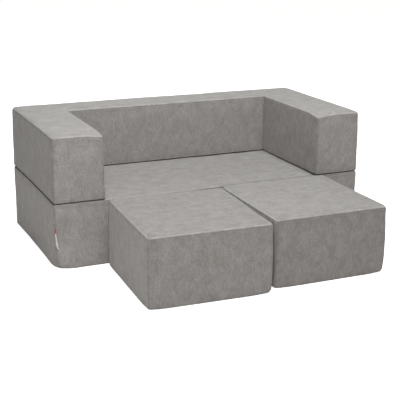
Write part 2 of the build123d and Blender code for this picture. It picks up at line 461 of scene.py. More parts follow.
def lattice_lines(breaks: Sequence[float], marks: Iterable[float] = ()) -> np.ndarray:
    """Lattice lines through all panel edges of one axis.

    Args:
        breaks: Places of the panel edges along the axis, in order.
        marks: Further places that need a line of their own.

    Returns:
        Places of the lines, in order.
    """
    lines = np.unique(np.concatenate([lines_between(a, b) for a, b in zip(breaks, breaks[1:])]).round(7))
    marks = np.array(list(marks))
    if len(marks):
        clear = np.abs(lines[:, None] - marks[None, :]).min(1) > 1.0 * MM
        keep = clear | np.isin(lines, np.round(breaks, 7))
        lines = np.unique(np.concatenate([lines[keep], marks]))
    return lines


def lattice_surface(
        lines: Sequence[np.ndarray], filled: np.ndarray) -> tuple[np.ndarray, np.ndarray, np.ndarray]:
    """Skin of the filled cells of a lattice, as quads that face outwards.

    A quad lies wherever a cell is filled and its neighbour across is not. Its corners are the lattice
    points i, j, k with the two other axes stepped by one in turn; the turn is reversed where the filled
    cell is on the far side.

    Args:
        lines: Places of the lattice lines on X, Y and Z.
        filled: Whether each cell is filled, one entry for each cell.

    Returns:
        Points, quads, and the way that each quad faces: 0 left, 1 right, 2 front, 3 rear, 4 down, 5 up.
    """
    counts = [len(line) for line in lines]
    padded = np.pad(filled, 1)
    quads, facings = [], []
    for axis in range(3):
        other = [a for a in range(3) if a != axis]
        inner = [slice(1, -1)] * 3
        lower, upper = list(inner), list(inner)
        lower[axis], upper[axis] = slice(0, -1), slice(1, None)
        here, there = padded[tuple(lower)], padded[tuple(upper)]
        for sign, mask in ((1, here & ~there), (-1, there & ~here)):
            cells = np.argwhere(mask)
            corners = np.repeat(cells[:, None, :], 4, 1)
            is_upper = sign * (-1 if axis == 1 else 1) > 0
            first, second = other if is_upper else other[::-1]
            corners[:, 1, first] += 1
            corners[:, 2, first] += 1
            corners[:, 2, second] += 1
            corners[:, 3, second] += 1
            quads.append((corners[..., 0] * counts[1] + corners[..., 1]) * counts[2] + corners[..., 2])
            facings.append(np.full(len(cells), axis * 2 + (1 if sign > 0 else 0)))
    quads = np.concatenate(quads)
    used, renumbered = np.unique(quads, return_inverse=True)
    i, rest = np.divmod(used, counts[1] * counts[2])
    j, k = np.divmod(rest, counts[2])
    points = np.stack([lines[0][i], lines[1][j], lines[2][k]], 1)
    return points, renumbered.reshape(quads.shape), np.concatenate(facings)


def smooth_step(value: np.ndarray, low: float, high: float) -> np.ndarray:
    """Rise from 0 at low to 1 at high along 3t^2 - 2t^3."""
    t = np.clip((value - low) / (high - low), 0, 1)
    return t * t * (3 - 2 * t)


def bell(value: np.ndarray, width: float) -> np.ndarray:
    """Bell curve exp(-(value / width)^2)."""
    return np.exp(-(value / width) ** 2)


def inside(value: np.ndarray, half: float, rim: float) -> np.ndarray:
    """Fall from 1 to 0 where the size of a value passes half, within a rim to each side of it."""
    return 1 - smooth_step(np.abs(value), half - rim, half + rim)


def ripples(points: np.ndarray, wavelength: float, seed: int) -> np.ndarray:
    """Gentle unevenness between about -1 and 1.

    Sum of twelve sine waves whose directions, lengths (0.7 to 1.5 times the wavelength) and phases come
    from a seeded generator, divided by 1.6 times the root of half their number.

    Args:
        points: Places where the unevenness is wanted.
        wavelength: Typical length of a wave, in metres.
        seed: Number that makes this unevenness different from others.

    Returns:
        One value for each point.
    """
    rng = np.random.default_rng(seed)
    count = 12
    direction = rng.normal(size=(3, count))
    direction /= np.linalg.norm(direction, axis=0)
    waves = direction * (2 * np.pi / (wavelength * rng.uniform(0.7, 1.5, count)))
    return np.sin(points @ waves + rng.uniform(0, 2 * np.pi, count)).sum(1) / np.sqrt(count / 2) / 1.6


@dataclass
class Box:
    """Upright box given by its lowest and highest corner."""

    low: np.ndarray
    high: np.ndarray

    def nearest(self, points: np.ndarray, inset: np.ndarray) -> np.ndarray:
        """Nearest point to each point in the box shrunk by an inset that may differ from point to point."""
        shrink = inset[:, None]
        return np.minimum(np.maximum(points, self.low + shrink), self.high - shrink)


def rounded(points: np.ndarray, radius: np.ndarray, boxes: Sequence[Box]) -> np.ndarray:
    """Round the edges of a union of boxes.

    Each point p goes to q + r (p - q) / |p - q|, where q is the nearest point of the boxes shrunk by r.
    Where two boxes are equally near, in an inward corner, the mean of their two answers is taken.

    Args:
        points: Points on the sharp skin.
        radius: Radius at each point.
        boxes: The boxes that the shape is made of.

    Returns:
        Points on the rounded skin.
    """
    answers, reaches = [], []
    for box in boxes:
        core = box.nearest(points, radius)
        away = points - core
        reach = np.linalg.norm(away, axis=1)
        answers.append(core + away * (radius / np.maximum(reach, 1e-9))[:, None])
        reaches.append(reach)
    reaches = np.array(reaches)
    share = (reaches <= reaches.min(0) + 1e-7).astype(float)
    share /= share.sum(0)
    return (np.array(answers) * share[..., None]).sum(0)


def subdivided(piece: bpy.types.Object) -> None:
    """Apply one Catmull-Clark subdivision to a piece.

    Args:
        piece: The piece, which gets a finer mesh.
    """
    modifier = piece.modifiers.new("smooth", "SUBSURF")
    modifier.levels = modifier.render_levels = 1
    graph = bpy.context.evaluated_depsgraph_get()
    finer = bpy.data.meshes.new_from_object(
        piece.evaluated_get(graph), preserve_all_data_layers=True, depsgraph=graph)
    piece.modifiers.clear()
    old = piece.data
    piece.data = finer
    bpy.data.meshes.remove(old)
    finer.name = piece.name


def blown_up(piece: bpy.types.Object, held: np.ndarray, pressure: float) -> np.ndarray:
    """Blow a closed cover up from inside with a short cloth simulation, without gravity.

    Args:
        piece: The cover, closed.
        held: How firmly each vertex is held, from 0 to 1: 1 along the sewn seams.
        pressure: Pressure from inside.

    Returns:
        Places of the vertices at the last frame. The piece itself keeps its shape.
    """
    scene = bpy.context.scene
    group = piece.vertex_groups.new(name="seams")
    for level, chosen in ((1.0, held >= 1.0), (0.5, (held > 0.2) & (held < 1.0))):
        group.add(np.flatnonzero(chosen).tolist(), level, "REPLACE")
    cloth = piece.modifiers.new("pressure", "CLOTH")
    settings = cloth.settings
    settings.use_pressure = True
    settings.uniform_pressure_force = pressure
    settings.vertex_group_mass = group.name
    settings.mass = 0.4
    settings.quality = 4
    settings.tension_stiffness = settings.compression_stiffness = 25
    settings.shear_stiffness = 8
    settings.bending_stiffness = 2
    settings.effector_weights.gravity = 0
    cloth.point_cache.frame_start, cloth.point_cache.frame_end = 1, CLOTH_FRAMES
    for number in range(1, CLOTH_FRAMES + 1):
        scene.frame_set(number)
    evaluated = piece.evaluated_get(bpy.context.evaluated_depsgraph_get())
    result = read_points(evaluated.data)
    piece.modifiers.clear()
    piece.vertex_groups.clear()
    scene.frame_set(1)
    return result


# The blocks


@dataclass
class StuffedBlock:
    """A block of foam in a sewn velour cover, with a coil zip along the foot of its rear panel.

    Its own frame has the middle of its underside at the origin, X across, -Y to the front. Its seed
    makes its unevenness and its pattern differ from the other blocks'.
    """

    name: str
    body: str
    width: float
    depth: float
    height: float
    place: Placement
    seed: int
    panels: list[str]
    cores: list[str]
    zip_prefix: str
    crown: float = 5 * MM
    ease: float = 2 * MM
    swell: float = 2 * MM
    draw: float = 3 * MM
    top_radius: float = 9 * MM
    side_radius: float = 8 * MM
    bottom_radius: float = 6 * MM
    foot_radius: float = 20 * MM
    corner_radius: float = 14 * MM
    rear_lift: float = 0.0
    # Painted shade: a tone shift for the left, front or top facing of the cover.
    facing_shade: dict[str, float] = field(default_factory=dict)
    skin: float = 2 * MM
    turn_over: float = 9 * MM
    zip_height: float = 34 * MM
    zip_half_width: float = 7 * MM
    zip_end_margin: float = 60 * MM
    zip_depth: float = 2.4 * MM
    zip_rim: float = 0.7 * MM
    corner_reach: float = 60 * MM
    seam_reach: float = 45 * MM
    pressure: float = 4.0

    @property
    def zip_half_length(self) -> float:
        """Half of the zip's length."""
        return self.width / 2 - self.zip_end_margin

    def boxes(self, inset: float = 0.0) -> list[Box]:
        """Boxes that the cover is cut to before it swells.

        The cover is looser than the block by the ease at its front and both ends, and lower by the crown.

        Args:
            inset: How far the boxes are shrunk on every side.

        Returns:
            The boxes.
        """
        x = self.width / 2 + self.ease - inset
        front = -self.depth / 2 - self.ease + inset
        return [Box(np.array([-x, front, inset]),
                    np.array([x, self.depth / 2 - inset, self.height - self.crown - inset]))]

    def breaks(self, inset: float = 0.0) -> tuple[list[float], list[float], list[float]]:
        """Places of the panel edges on X, Y and Z."""
        box = self.boxes(inset)[0]
        return tuple([box.low[a], box.high[a]] for a in range(3))

    def marks(self) -> tuple[list[float], list[float], list[float]]:
        """Places on X, Y and Z that need lattice lines of their own: here the rim of the zip opening.

        Returns:
            The places on X, on Y and on Z.
        """
        both = [(side, offset) for side in (-1, 1) for offset in (-self.zip_rim, self.zip_rim)]
        ends = [side * (self.zip_half_length + offset) for side, offset in both]
        rims = [self.zip_height + side * (self.zip_half_width + offset) for side, offset in both]
        return ends, [], rims

    def radii(self, points: np.ndarray) -> np.ndarray:
        """Edge radius at each point, wider at the top's corners and at the foot's two front corners.

        Args:
            points: Places on the sharp skin.

        Returns:
            One radius for each point.
        """
        z = points[:, 2]
        top = smooth_step(z, self.height * 0.55, self.height * 0.85)
        foot = 1 - smooth_step(z, 0.0, self.corner_reach)
        radius = self.side_radius + (self.top_radius - self.side_radius) * top
        radius = radius + (self.bottom_radius - self.side_radius) * foot
        front, rear = self.corner_nearness(points)
        radius = radius + (self.foot_radius - self.bottom_radius) * foot * front
        return radius + (self.corner_radius - self.top_radius) * top * np.maximum(front, rear)

    def corner_nearness(self, points: np.ndarray) -> tuple[np.ndarray, np.ndarray]:
        """How near each point is to an upright outer edge at the front and at the rear, from 0 to 1.

        Args:
            points: Places in the block's own frame.

        Returns:
            The nearness at the front, and that at the rear.
        """
        side = 1 - smooth_step(self.width / 2 - np.abs(points[:, 0]), 0, self.corner_reach)
        front = 1 - smooth_step(self.depth / 2 + points[:, 1], 0, self.corner_reach)
        rear = 1 - smooth_step(self.depth / 2 - points[:, 1], 0, self.corner_reach)
        return side * front, side * rear

    def filled_cells(self, lines: Sequence[np.ndarray], boxes: Sequence[Box]) -> np.ndarray:
        """Whether the middle of each lattice cell lies in one of the boxes.

        Args:
            lines: Lattice lines on X, Y and Z.
            boxes: The boxes.

        Returns:
            One entry for each cell.
        """
        middles = np.stack(np.meshgrid(*[(line[1:] + line[:-1]) / 2 for line in lines], indexing="ij"), -1)
        filled = np.zeros(middles.shape[:3], bool)
        for box in boxes:
            filled |= ((middles > box.low) & (middles < box.high)).all(-1)
        return filled

    def wall_gaps(self, points: np.ndarray) -> np.ndarray:
        """Distance of each point to each of the upright walls, one column for each wall."""
        box = self.boxes()[0]
        return np.concatenate([points[:, :2] - box.low[:2], box.high[:2] - points[:, :2]], 1)

    def seam_distance(self, points: np.ndarray) -> np.ndarray:
        """Distance of each point of the sharp skin to the nearest seam.

        The upright seams and the bottom seam are on the edges. The top panel is turned over its edge, so
        its seam lies a little way down the walls: there the distance is | h - t |, and on top it is w + t,
        for the depth h below the top, the distance w to the nearest wall and the turn-over t.

        Args:
            points: Places on the sharp skin.

        Returns:
            One distance for each point.
        """
        box = self.boxes()[0]
        walls = np.sort(np.abs(self.wall_gaps(points)), 1)
        above, below = box.high[2] - points[:, 2], points[:, 2] - box.low[2]
        on_wall = np.minimum(np.minimum(walls[:, 1], np.abs(above - self.turn_over)), below)
        on_top = walls[:, 0] + self.turn_over
        on_face = np.where(above < ON_PLANE, on_top, walls[:, 0])
        return np.where(walls[:, 0] < ON_PLANE, on_wall, on_face)

    def edge_distance(self, points: np.ndarray) -> np.ndarray:
        """Distance of each point of the sharp skin to the nearest edge of the top."""
        walls = np.abs(self.wall_gaps(points)).min(1)
        return np.maximum(walls, self.boxes()[0].high[2] - points[:, 2])

    def painted_edge_highlight(self, distance: np.ndarray, points: np.ndarray) -> np.ndarray:
        """Share of painted highlight along each top edge, where the pile parts and shows paler: unevenly,
        and least at the rear.

        Args:
            distance: Distance to the nearest edge of the top.
            points: Places in the block's own frame.

        Returns:
            One share for each point.
        """
        uneven = 0.8 + 0.35 * ripples(points, 40 * MM, self.seed + 3)
        rear = smooth_step(points[:, 1], self.depth / 2 - 30 * MM, self.depth / 2 - 12 * MM)
        return 0.5 * bell(distance, 4.5 * MM) * np.clip(uneven, 0, 1.2) * (1 - 0.9 * rear)

    def rest_shade(self, points: np.ndarray) -> np.ndarray:
        """Painted shade where another block rests: how near each point of the sharp skin is to that line,
        from 0 to 1.
        """
        return np.zeros(len(points))

    def painted_facing_shade(self, normals: np.ndarray) -> np.ndarray:
        """Painted shade: shift of the velour's tone by facing, for how light falls on each panel's pile,
        which is laid its own way.

        Sum over the ways d listed in the block's facing shade of their tone times (n . d)^2, for the normal
        n.

        Args:
            normals: Normal at each point.

        Returns:
            One shift for each point.
        """
        ways = {"left": (-1, 0, 0), "front": (0, -1, 0), "top": (0, 0, 1)}
        total = np.zeros(len(normals))
        for name, tone in self.facing_shade.items():
            total += tone * np.clip(normals @ np.array(ways[name], float), 0, 1) ** 2
        return total

    def swell_caps(self, normals: np.ndarray) -> np.ndarray:
        """How far each point may swell: the crown on top, the swell at the sides, 0.2 mm below.

        Args:
            normals: Normal at each point.

        Returns:
            One cap for each point.
        """
        up = np.clip(normals[:, 2], 0, 1)
        down = np.clip(-normals[:, 2], 0, 1)
        rear = np.clip(normals[:, 1], 0, 1)
        side = 1 - up - down
        side_cap = self.swell * (1 - 0.75 * rear)
        return self.crown * up + side_cap * np.clip(side, 0, 1) + 0.2 * MM * down

    def side_planes(self) -> list[tuple[np.ndarray, float, float]]:
        """Outward direction, distance from the middle and half length of each drawn-in side.

        Returns:
            One entry for each side.
        """
        box = self.boxes()[0]
        x, front = box.high[0], -box.low[1]
        return [
            (np.array([1.0, 0, 0]), x, self.depth / 2),
            (np.array([-1.0, 0, 0]), x, self.depth / 2),
            (np.array([0, -1.0, 0]), front, x),
        ]

    def draw_in(self, points: np.ndarray) -> np.ndarray:
        """Pull the long seams in: by the draw at mid length, fading as a bell away from the seam.

        Args:
            points: Places in the block's own frame.

        Returns:
            The moved points.
        """
        moved = points.copy()
        z = points[:, 2]
        near_seam = bell(z, self.seam_reach) + bell(self.height - self.crown - z, self.seam_reach)
        for direction, reach, half in self.side_planes():
            behind = np.clip(reach - points @ direction, 0, None)
            along = points @ np.array([-direction[1], direction[0], 0])
            share = np.clip(1 - (along / half) ** 2, 0, 1)
            pull = self.draw * share * near_seam * bell(behind, self.seam_reach)
            moved -= direction * pull[:, None]
        return moved

    def settle(self, points: np.ndarray) -> np.ndarray:
        """Let the rear half of the top stand proud, by the rear lift.

        Args:
            points: Places in the block's own frame.

        Returns:
            The moved points.
        """
        moved = points.copy()
        rear = smooth_step(points[:, 1], -self.depth / 4, self.depth / 2 - 20 * MM)
        height = smooth_step(points[:, 2], self.height * 0.5, self.height - 8 * MM)
        moved[:, 2] += self.rear_lift * rear * height
        return moved

    def cover(self, velour: bpy.types.Material) -> bpy.types.Object:
        """Build the sewn cover: lattice, rounded edges, blown up, subdivided, then sewn.

        A point swells along its normal by c tanh(0.8 b / c), for its cap c and for how far b the
        simulation blows it up.

        Args:
            velour: Finish of the cover.

        Returns:
            The cover.
        """
        boxes = self.boxes()
        lines = [lattice_lines(places, marks) for places, marks in zip(self.breaks(), self.marks())]
        flat, quads, facings = lattice_surface(lines, self.filled_cells(lines, boxes))
        seam = self.seam_distance(flat)
        shape = rounded(flat, self.radii(flat), boxes)
        shape = self.draw_in(shape)

        piece = make_piece(self.name + "_cover", shape, quads)
        mesh = piece.data
        self.write_uv(mesh, flat, facings)
        # The painted shade where blocks rest is worked out on the sharp skin and carried through.
        carried = {
            "seam_distance": seam, "edge_distance": self.edge_distance(flat), "rest_shade": self.rest_shade(flat),
            "flat_x": flat[:, 0], "flat_y": flat[:, 1], "flat_z": flat[:, 2],
        }
        for name, values in carried.items():
            write_values(mesh, name, values)

        normals = read_points(mesh, "normal")
        caps = self.swell_caps(normals)
        blown = blown_up(piece, np.clip(1.4 - seam / (3 * MM), 0, 1), self.pressure)
        along_normal = ((blown - shape) * normals).sum(1)
        out = caps * np.tanh(np.clip(along_normal, 0, None) / np.maximum(caps, 0.1 * MM) * 0.8)
        write_points(mesh, shape + normals * out[:, None])
        subdivided(piece)
        self.sew(piece.data)
        for name in carried:
            piece.data.attributes.remove(piece.data.attributes[name])
        write_points(piece.data, self.place.apply(read_points(piece.data)))
        piece.data.materials.append(velour)
        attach(piece, self.body)
        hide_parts(*self.panels)
        LOG.info("%s: %d faces", piece.name, len(piece.data.polygons))
        return piece

    def write_uv(self, mesh: bpy.types.Mesh, flat: np.ndarray, facings: np.ndarray) -> None:
        """Lay each panel out flat in metres, with V along the brushed pile.

        Each facing and each seed moves the pattern on, so that no two panels show the same patch.

        Args:
            mesh: The cover's lattice.
            flat: Its points on the sharp skin.
            facings: The way that each quad faces.
        """
        layer = mesh.uv_layers.new(name="cut")
        corners = np.zeros(len(mesh.loops), np.int32)
        mesh.loops.foreach_get("vertex_index", corners)
        facing = np.repeat(facings, 4)
        spot = flat[corners]
        across = np.where(facing < 2, spot[:, 1], np.where(facing < 4, spot[:, 0], spot[:, 1]))
        along = np.where(facing < 4, spot[:, 2], spot[:, 0])
        u = across + facing * 2.37 + self.seed * 0.71
        v = along + facing * 1.91 + self.seed * 1.13
        layer.data.foreach_set("uv", np.stack([u, v], 1).ravel())

    def sew(self, mesh: bpy.types.Mesh) -> None:
        """Draw the seams in, let the velour lie unevenly, and open the rear panel for the zip.

        Along its normal a point moves by a bell 1.2 mm wide that goes in at the seam, a lower ridge 4 mm
        beside it, gathers that fade from the seam, and slow waves away from it, which are least at the
        rear and none below. The rear panel is flat near the zip.

        Args:
            mesh: The cover's finished mesh.
        """
        points = read_points(mesh)
        normals = read_points(mesh, "normal")
        seam = read_values(mesh, "seam_distance")
        gather = ripples(points, 16 * MM, self.seed + 5)
        groove = -0.7 * MM * bell(seam, 1.2 * MM) + 0.4 * MM * bell(seam - 4 * MM, 2.5 * MM)
        groove = groove + 0.35 * MM * gather * np.exp(-seam / (9 * MM))
        wavy = 0.7 * MM * ripples(points, 150 * MM, self.seed)
        wavy = wavy + 0.35 * MM * ripples(points, 55 * MM, self.seed + 9)
        wavy = wavy * smooth_step(seam, 0, 30 * MM)
        rear_free = np.where(normals[:, 1] > 0.5, 0.25, 1.0)
        offset = groove + wavy * rear_free * (1 - np.clip(-normals[:, 2], 0, 1))
        points = points + normals * offset[:, None]
        points = self.settle(points)

        x, z = read_values(mesh, "flat_x"), read_values(mesh, "flat_z")
        rear = read_values(mesh, "flat_y") > self.depth / 2 - 0.1 * MM
        in_slot = inside(z - self.zip_height, self.zip_half_width, self.zip_rim)
        in_slot = in_slot * inside(x, self.zip_half_length, self.zip_rim) * rear
        near_zip = rear * bell(z - self.zip_height, 16 * MM)
        points[:, 1] = points[:, 1] * (1 - near_zip) + self.depth / 2 * near_zip
        points[:, 1] -= self.zip_depth * in_slot
        points[:, 2] = np.maximum(points[:, 2], 0.0)
        write_points(mesh, points)
        # Painted shade along the seams and where blocks rest, a painted highlight along the top edges, and
        # painted shade by facing.
        seam_shade = 0.13 * bell(seam, 2 * MM) + 0.1 * (1 + 0.5 * gather) * bell(seam, 10 * MM)
        write_values(mesh, "painted_shade", np.maximum(seam_shade, read_values(mesh, "rest_shade")))
        write_values(mesh, "edge", self.painted_edge_highlight(read_values(mesh, "edge_distance"), points))
        write_values(mesh, "facing_shade", self.painted_facing_shade(normals))

    def core_boxes(self, inset: float) -> list[tuple[str, Box]]:
        """Name and box of each block of foam."""
        return [(self.cores[0], self.boxes(inset)[0])]

    def foam(self, material: bpy.types.Material) -> list[bpy.types.Object]:
        """Build the sawn blocks of foam inside the cover, with softened edges.

        Args:
            material: Finish of the foam.

        Returns:
            One piece for each block of foam.
        """
        pieces = []
        steps = np.array([0, 4, 10, 18, 30]) * MM
        for node, box in self.core_boxes(self.skin + self.ease + 4 * MM):
            lines = [
                np.unique(np.concatenate([low + steps, np.linspace(low, high, 8)[1:-1], high - steps]))
                for low, high in zip(box.low, box.high)]
            filled = np.ones([len(line) - 1 for line in lines], bool)
            flat, quads, _ = lattice_surface(lines, filled)
            shape = rounded(flat, self.radii(flat), [box])
            piece = make_piece(node + "_foam", self.place.apply(shape), quads)
            piece.data.materials.append(material)
            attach(piece, self.body)
            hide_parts(node)
            pieces.append(piece)
            LOG.info("%s: %d faces", piece.name, len(quads))
        return pieces


@dataclass
class SeatBlock(StuffedBlock):
    """The long base block, which the U-shaped block presses on along three sides."""

    puff: float = 3.5 * MM
    hollow_side: float = 373.5 * MM
    hollow_rear: float = 128 * MM

    def marks(self) -> tuple[list[float], list[float], list[float]]:
        """Places that need lattice lines: the rim of the zip opening and the inner outline of the U.

        Returns:
            The places on X, on Y and on Z.
        """
        ends, _, rims = super().marks()
        offsets = np.array([-6, -3, -1, 1, 3, 6]) * MM
        across = [side * (self.hollow_side + offset) for side in (-1, 1) for offset in offsets]
        return ends + across, [self.hollow_rear + offset for offset in offsets], rims

    def hollow_gap(self, points: np.ndarray) -> np.ndarray:
        """Distance of each point to the inner outline of the U on the plan; negative below the U."""
        return np.minimum(self.hollow_side - np.abs(points[:, 0]), self.hollow_rear - points[:, 1])

    def settle(self, points: np.ndarray) -> np.ndarray:
        """Let the seat stand proud where the U doesn't press on it, except along its front edge.

        Args:
            points: Places in the block's own frame.

        Returns:
            The moved points.
        """
        moved = points.copy()
        front = -self.depth / 2
        free = smooth_step(self.hollow_gap(points), 5 * MM, 30 * MM)
        free = free * smooth_step(points[:, 1], front + 5 * MM, front + 90 * MM)
        height = smooth_step(points[:, 2], self.height * 0.6, self.height - 8 * MM)
        moved[:, 2] += self.puff * free * height
        return moved

    def rest_shade(self, points: np.ndarray) -> np.ndarray:
        """Painted shade along the outline that the U rests on: how near each point is to it, from 0 to 1.

        A weaker painted shadow lies along the front edge of the top behind the right ottoman, which leans
        on it.

        Args:
            points: Places on the sharp skin.

        Returns:
            One share for each point.
        """
        depth = self.boxes()[0].high[2] - points[:, 2]
        gap = self.hollow_gap(points)
        walls = np.abs(self.wall_gaps(points)).min(1)
        outline = np.where(gap > 0, gap, np.minimum(-gap, walls))
        is_top = depth < ON_PLANE
        on_top = np.where(is_top, bell(outline, 3.5 * MM), 0.0)
        on_wall = np.where((gap < 0) & ~is_top, bell(depth, 2 * MM), 0.0)
        is_front = points[:, 1] < -self.depth / 2 + 1 * MM
        # Painted shade along the line where the U rests, weaker at the front.
        rest_line_shade = np.where(is_front, 0.35, 0.95) * np.maximum(on_top, on_wall)
        # Painted shadow behind the right ottoman, along the front edge of the top.
        ottoman_shadow = bell(np.maximum(depth, points[:, 1] + self.depth / 2), 8 * MM)
        ottoman_shadow = ottoman_shadow * smooth_step(points[:, 0], 5 * MM, 25 * MM)
        ottoman_shadow = ottoman_shadow * (1 - smooth_step(points[:, 0], 380 * MM, 400 * MM))
        return np.maximum(rest_line_shade, 0.4 * ottoman_shadow)


@dataclass
class BackBlock(StuffedBlock):
    """The U-shaped block: a backrest with an arm at each end, in one cover."""

    arm: float = 160 * MM
    back: float = 127 * MM

    def boxes(self, inset: float = 0.0) -> list[Box]:
        """Left arm, right arm and backrest, each looser by the ease on the sides that swell.

        Args:
            inset: How far the boxes are shrunk on every side.

        Returns:
            The three boxes.
        """
        x = self.width / 2 + self.ease - inset
        front = -self.depth / 2 - self.ease + inset
        rear = self.depth / 2 - inset
        inner_x = self.width / 2 - self.arm + inset
        inner_y = self.depth / 2 - self.back + inset
        low, high = inset, self.height - self.crown - inset
        return [
            Box(np.array([-x, front, low]), np.array([-inner_x, rear, high])),
            Box(np.array([inner_x, front, low]), np.array([x, rear, high])),
            Box(np.array([-x, inner_y, low]), np.array([x, rear, high])),
        ]

    def breaks(self, inset: float = 0.0) -> tuple[list[float], list[float], list[float]]:
        """Places of the panel edges on X, Y and Z.

        Args:
            inset: How far the boxes are shrunk on every side.

        Returns:
            The places on X, on Y and on Z.
        """
        left, right, back = self.boxes(inset)
        xs = [left.low[0], left.high[0], right.low[0], right.high[0]]
        ys = [left.low[1], back.low[1], back.high[1]]
        return xs, ys, [left.low[2], left.high[2]]

    def wall_gaps(self, points: np.ndarray) -> np.ndarray:
        """Distance of each point to each upright wall of the U, or NO_WALL where it doesn't face the point.

        Args:
            points: Places in the block's own frame.

        Returns:
            One column for each wall.
        """
        _, right, back = self.boxes()
        x, y = np.abs(points[:, 0]), points[:, 1]
        is_arm = x >= right.low[0] - ON_PLANE
        is_hollow_side = y <= back.low[1] + ON_PLANE
        front = np.where(is_arm, y - right.low[1], NO_WALL)
        inner = np.where(is_hollow_side, x - right.low[0], np.hypot(x - right.low[0], y - back.low[1]))
        backrest = np.where(~is_arm | (x - right.low[0] < ON_PLANE), y - back.low[1], NO_WALL)
        return np.stack([right.high[0] - x, back.high[1] - y, front, inner, backrest], 1)

    def side_planes(self) -> list[tuple[np.ndarray, float, float]]:
        """Outward direction, distance from the middle and half length of each drawn-in side.

        Returns:
            One entry for each side.
        """
        right = self.boxes()[1]
        return [
            (np.array([1.0, 0, 0]), right.high[0], self.depth / 2),
            (np.array([-1.0, 0, 0]), right.high[0], self.depth / 2),
        ]

    def settle(self, points: np.ndarray) -> np.ndarray:
        """Let the inner front top corner of each arm droop, by 7 mm within about 40 mm.

        Args:
            points: Places in the block's own frame.

        Returns:
            The moved points.
        """
        moved = points.copy()
        inner_x = self.width / 2 - self.arm
        for side in (-1, 1):
            corner = np.array([side * inner_x, -self.depth / 2, self.height - self.crown])
            away = np.linalg.norm(points - corner, axis=1)
            droop = bell(away, 40 * MM)
            moved[:, 2] -= 7 * MM * droop
            moved[:, 1] += 2 * MM * droop
        return moved

    def rest_shade(self, points: np.ndarray) -> np.ndarray:
        """Painted shade along the foot where the U rests: how near each point of the sharp skin is to it,
        from 0 to 1.
        """
        is_front = points[:, 1] < -self.depth / 2 + 1 * MM
        return np.where(is_front, 0.6, 0.95) * bell(points[:, 2], 2 * MM)

    def core_boxes(self, inset: float) -> list[tuple[str, Box]]:
        """Backrest block and the two arm blocks glued to its front.

        Args:
            inset: How far the boxes are shrunk on every side.

        Returns:
            The name and box of each block of foam.
        """
        left, right, back = self.boxes(inset)
        joint = back.low[1]
        left_arm = Box(left.low, np.array([left.high[0], joint - 0.2 * MM, left.high[2]]))
        right_arm = Box(right.low, np.array([right.high[0], joint - 0.2 * MM, right.high[2]]))
        return [(self.cores[0], back), (self.cores[1], left_arm), (self.cores[2], right_arm)]


@dataclass
class CoilZip:
    """Coil zip in the rear panel: woven tapes and slider from the solids, and two rows of wound coil."""

    block: StuffedBlock
    pitch: float = 2.0 * MM
    wire: float = 0.55 * MM
    row_width: float = 2.4 * MM
    row_height: float = 1.5 * MM
    slit: float = 1.4 * MM
    stop: float = 3.0 * MM
    tape_face: float = 1.0 * MM

    def coil(self, material: bpy.types.Material) -> bpy.types.Object:
        """Wind both rows and set a stop at each end.

        Each row is a helix x = p t, z = a cos 2 pi t, y = b sin 2 pi t of an oblong section, carried by a
        three-sided wire; the two rows are wound in opposite senses and stand half a turn apart.

        Args:
            material: Finish of the coil.

        Returns:
            The coil with its stops, as one piece.
        """
        block = self.block
        half = block.zip_half_length - self.stop
        turns = int(2 * half / self.pitch)
        steps = 8
        t = np.arange(turns * steps + 1) / steps
        inner = block.depth / 2 - block.skin + self.tape_face
        points, faces, base = [], [], 0
        for side in (-1, 1):
            middle_z = block.zip_height + side * (self.slit + self.row_width) / 2
            angle = 2 * np.pi * (t + (0.5 if side > 0 else 0.0))
            line = np.stack([
                -half + t * self.pitch,
                inner + self.row_height / 2 + (self.row_height - self.wire) / 2 * np.sin(angle),
                middle_z + side * (self.row_width - self.wire) / 2 * np.cos(angle),
            ], 1)
            ring, quads = wire_along(line, self.wire / 2, 3)
            points.append(ring)
            faces += (quads + base).tolist()
            base += len(ring)
        stop_half = self.slit / 2 + self.row_width
        for side in (-1, 1):
            start = side * (half + self.stop / 2) - self.stop / 2
            low = np.array([start, inner, block.zip_height - stop_half])
            high = low + np.array([self.stop, self.row_height, 2 * stop_half])
            lines = [np.linspace(low[a], high[a], 4) for a in range(3)]
            flat, quads, _ = lattice_surface(lines, np.ones((3, 3, 3), bool))
            shape = rounded(flat, np.full(len(flat), 0.5 * MM), [Box(low, high)])
            points.append(shape)
            faces += (quads + base).tolist()
            base += len(shape)
        piece = make_piece(block.zip_prefix + "coil_rows", block.place.apply(np.concatenate(points)), faces)
        piece.data.materials.append(material)
        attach(piece, block.body)
        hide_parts(block.zip_prefix + "coil")
        LOG.info("%s: %d faces", piece.name, len(faces))
        return piece


def grid_quads(rows: int, columns: int, is_closed: bool) -> np.ndarray:
    """Quads between the points of a grid that are numbered row by row.

    Args:
        rows: Number of rows.
        columns: Number of points in a row.
        is_closed: Whether the last point of a row is joined to its first.

    Returns:
        The four point numbers of each quad.
    """
    i, j = np.meshgrid(np.arange(rows - 1), np.arange(columns - (not is_closed)), indexing="ij")
    k = (j + 1) % columns
    corners = [i * columns + j, i * columns + k, (i + 1) * columns + k, (i + 1) * columns + j]
    return np.stack(corners, -1).reshape(-1, 4)


def wire_along(line: np.ndarray, radius: float, sides: int) -> tuple[np.ndarray, np.ndarray]:
    """Carry a round wire along a line.

    Around each point c with tangent T the ring is c + r (N cos a + B sin a), where N is the part of Y at
    right angles to T, and B = T x N.

    Args:
        line: Points along the wire.
        radius: Radius of the wire.
        sides: Number of sides of its section.

    Returns:
        Points of the rings, and the quads between them.
    """
    tangent = np.gradient(line, axis=0)
    tangent /= np.linalg.norm(tangent, axis=1)[:, None]
    across = np.array([0.0, 1.0, 0.0]) - tangent * tangent[:, 1:2]
    across[np.linalg.norm(across, axis=1) < 1e-6] = (1, 0, 0)
    across /= np.linalg.norm(across, axis=1)[:, None]
    beside = np.cross(tangent, across)
    angle = 2 * np.pi * np.arange(sides) / sides
    ring = line[:, None] + radius * (
        across[:, None] * np.cos(angle)[None, :, None] + beside[:, None] * np.sin(angle)[None, :, None])
    return ring.reshape(-1, 3), grid_quads(len(line), sides, is_closed=True)


